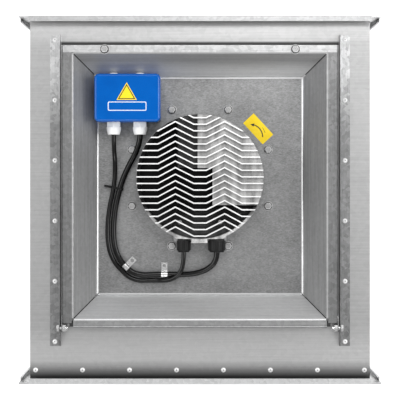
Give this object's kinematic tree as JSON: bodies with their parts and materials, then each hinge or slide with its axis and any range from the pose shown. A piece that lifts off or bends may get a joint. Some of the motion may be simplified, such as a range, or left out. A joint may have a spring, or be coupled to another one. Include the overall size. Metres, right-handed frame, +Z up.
{
  "type": "rectangular duct fan",
  "caption": "Galvanised rectangular duct fan with a recessed swing-out panel that carries its motor, impeller and terminal box.",
  "frame": {"origin": "under the middle of the casing, on the plane its flanges stand on", "axes": "+X across the duct, +Y along the airflow from inlet to outlet, +Z up, out of the service opening"},
  "size_m": [0.74, 0.752, 0.44],
  "materials": {
    "galvanised": "galvanised sheet, fine spangle",
    "zinc_hardware": "bright zinc plate",
    "cast_aluminium": "as die-cast, fins machined",
    "impeller_sheet": "rolled sheet",
    "ground_steel": "ground",
    "lamination": "stacked laminations",
    "magnet": "ferrite",
    "winding": "enamelled copper wire",
    "circuit_board": "solder mask",
    "blue_plastic": "moulded, satin gloss",
    "white_plastic": "moulded nylon",
    "black_plastic": "moulded nylon",
    "cable_sheath": "extruded sheath",
    "seal": "closed-cell foam",
    "yellow_label": "printed film"
  },
  "bodies": {
    "casing": {"casing_top": "galvanised", "casing_bottom": "galvanised", "casing_side_left": "galvanised", "casing_side_right": "galvanised", "inlet_flange_rails": "galvanised", "outlet_flange_rails": "galvanised", "inlet_flange_corners": "galvanised", "outlet_flange_corners": "galvanised", "flange_rivets": "zinc_hardware", "hinge_rail_left": "galvanised", "hinge_rail_right": "galvanised", "hinge_rail_rivets": "zinc_hardware", "hinge_pivot_screws": "zinc_hardware", "hinge_pivot_nuts": "zinc_hardware", "panel_gasket": "seal", "panel_rivnuts": "zinc_hardware", "partition_plate": "galvanised", "inlet_baffle": "galvanised", "outlet_baffle": "galvanised", "partition_rivets": "zinc_hardware", "inlet_nozzle": "galvanised", "nozzle_screws": "zinc_hardware"},
    "service_panel": {"tray_panel": "galvanised", "motor_support_plate": "galvanised", "panel_bolts": "zinc_hardware", "m8_washers": "zinc_hardware", "motor_bolts": "zinc_hardware", "motor_bolt_nuts": "zinc_hardware", "motor_screws": "zinc_hardware", "box_screws": "zinc_hardware", "p_clips": "zinc_hardware", "clip_screws": "zinc_hardware", "heat_sink_housing": "cast_aluminium", "stator_flange": "cast_aluminium", "lower_bearing": "ground_steel", "upper_bearing": "ground_steel", "stator_core": "lamination", "stator_windings": "winding", "electronics_board": "circuit_board", "terminal_box_base": "blue_plastic", "box_gland_bodies": "white_plastic", "box_gland_nuts": "white_plastic", "blanking_plugs": "white_plastic", "terminal_strip": "white_plastic", "motor_gland_bodies": "black_plastic", "motor_gland_nuts": "black_plastic", "cable_tie": "black_plastic", "power_cable": "cable_sheath", "control_cable": "cable_sheath", "rotation_label": "yellow_label"},
    "rotor": {"rotor_bell": "cast_aluminium", "rotor_magnets": "magnet", "motor_shaft": "ground_steel", "shaft_circlip": "ground_steel", "impeller_back_plate": "impeller_sheet", "impeller_blades": "impeller_sheet", "impeller_shroud": "impeller_sheet", "impeller_rivets": "zinc_hardware"},
    "box_lid": {"terminal_box_lid": "blue_plastic", "lid_seal": "seal"}
  },
  "joints": [
    {"name": "panel_hinge", "type": "hinge", "parent": "casing", "child": "service_panel", "pos_m": [0, -0.2628, 0.43], "axis": [1, 0, 0], "range_deg": [0, 90]},
    {"name": "rotor_spin", "type": "hinge", "parent": "service_panel", "child": "rotor", "pos_m": [0, 0.045, 0.28], "axis": [0, 0, 1], "continuous": true},
    {"name": "terminal_lid_lift", "type": "slide", "parent": "service_panel", "child": "box_lid", "axis": [0, 0, 1], "range_m": [0, 0.06]}
  ]
}
